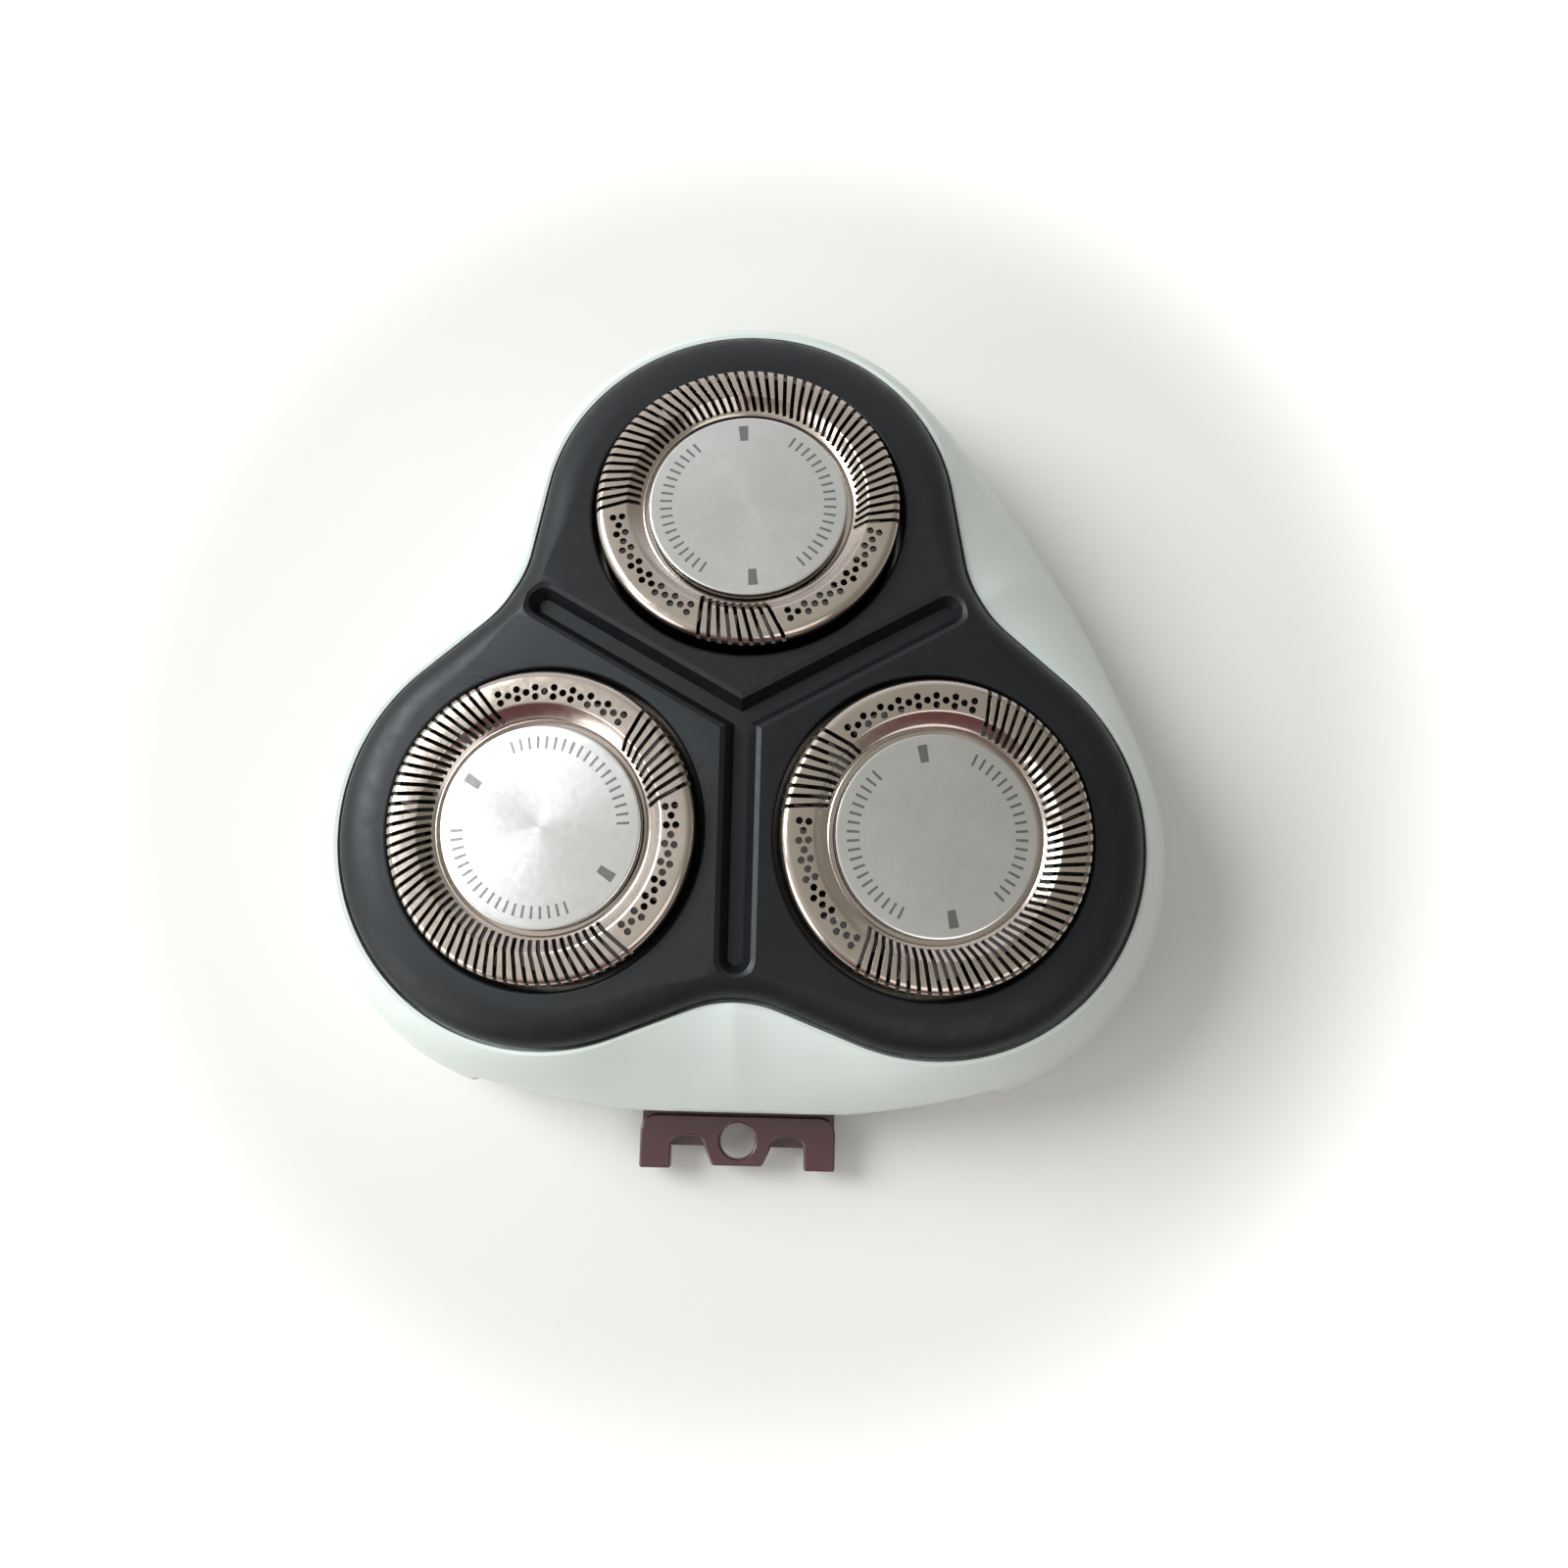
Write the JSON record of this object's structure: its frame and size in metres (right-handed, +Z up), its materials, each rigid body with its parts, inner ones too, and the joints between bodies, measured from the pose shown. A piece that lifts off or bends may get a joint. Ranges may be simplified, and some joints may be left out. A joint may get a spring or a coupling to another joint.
{
  "type": "rotary shaver head",
  "caption": "Rotary shaver head: slotted round guards in a black trefoil plate on a pale housing, with cutters, retaining frame and hinge bracket.",
  "frame": {"origin": "centre of the whole head's footprint, on the plane of the housing's open rim; the head axis is 1.4 mm to the -Y side of it", "axes": "+Z up through the face, parallel to the head axis; -Y towards the hinge bracket; guard 1 is at +Y"},
  "size_m": [0.0632, 0.064, 0.0193],
  "materials": {
    "shell": "glossy mint white",
    "face_plate": "satin black",
    "guard_nickel": "polished warm nickel",
    "disc_silver": "circular brushed",
    "blade_steel": "ground steel",
    "inner_plastic": "moulded grey",
    "bracket_plastic": "glossy maroon brown",
    "pin_steel": "drawn steel"
  },
  "bodies": {
    "head": {"housing": "shell", "head_plate": "face_plate", "retaining_frame": "inner_plastic", "hinge_pin": "pin_steel"},
    "lock": {"lock_knob": "inner_plastic"},
    "bracket": {"hinge_bracket": "bracket_plastic"},
    "guard_1_cup": {"guard_1": "guard_nickel", "guard_disc_1": "disc_silver"},
    "cutter_1": {"cutter_blades_1": "blade_steel", "lifter_blades_1": "blade_steel", "cutter_hub_1": "inner_plastic"},
    "guard_2_cup": {"guard_2": "guard_nickel", "guard_disc_2": "disc_silver"},
    "cutter_2": {"cutter_blades_2": "blade_steel", "lifter_blades_2": "blade_steel", "cutter_hub_2": "inner_plastic"},
    "guard_3_cup": {"guard_3": "guard_nickel", "guard_disc_3": "disc_silver"},
    "cutter_3": {"cutter_blades_3": "blade_steel", "lifter_blades_3": "blade_steel", "cutter_hub_3": "inner_plastic"}
  },
  "joints": [
    {"name": "guard_1_float", "type": "slide", "parent": "head", "child": "guard_1_cup", "axis": [0, 0.1253, 0.9921], "range_m": [0, 0.0012]},
    {"name": "cutter_1_spin", "type": "hinge", "parent": "guard_1_cup", "child": "cutter_1", "pos_m": [0, 0.01406, 0.018], "axis": [0, 0.1253, 0.9921], "continuous": true},
    {"name": "guard_2_float", "type": "slide", "parent": "head", "child": "guard_2_cup", "axis": [-0.1085, -0.0627, 0.9921], "range_m": [0, 0.0012]},
    {"name": "cutter_2_spin", "type": "hinge", "parent": "guard_2_cup", "child": "cutter_2", "pos_m": [-0.01339, -0.00913, 0.018], "axis": [-0.1085, -0.0627, 0.9921], "continuous": true},
    {"name": "guard_3_float", "type": "slide", "parent": "head", "child": "guard_3_cup", "axis": [0.1085, -0.0627, 0.9921], "range_m": [0, 0.0012]},
    {"name": "cutter_3_spin", "type": "hinge", "parent": "guard_3_cup", "child": "cutter_3", "pos_m": [0.01339, -0.00913, 0.018], "axis": [0.1085, -0.0627, 0.9921], "continuous": true},
    {"name": "lock_turn", "type": "hinge", "parent": "head", "child": "lock", "pos_m": [0, -0.0014, 0.0116], "axis": [0, 0, 1], "range_deg": [0, 90]},
    {"name": "bracket_swing", "type": "hinge", "parent": "head", "child": "bracket", "pos_m": [0, -0.0257, 0.0022], "axis": [1, 0, 0], "range_deg": [-10, 90]}
  ]
}
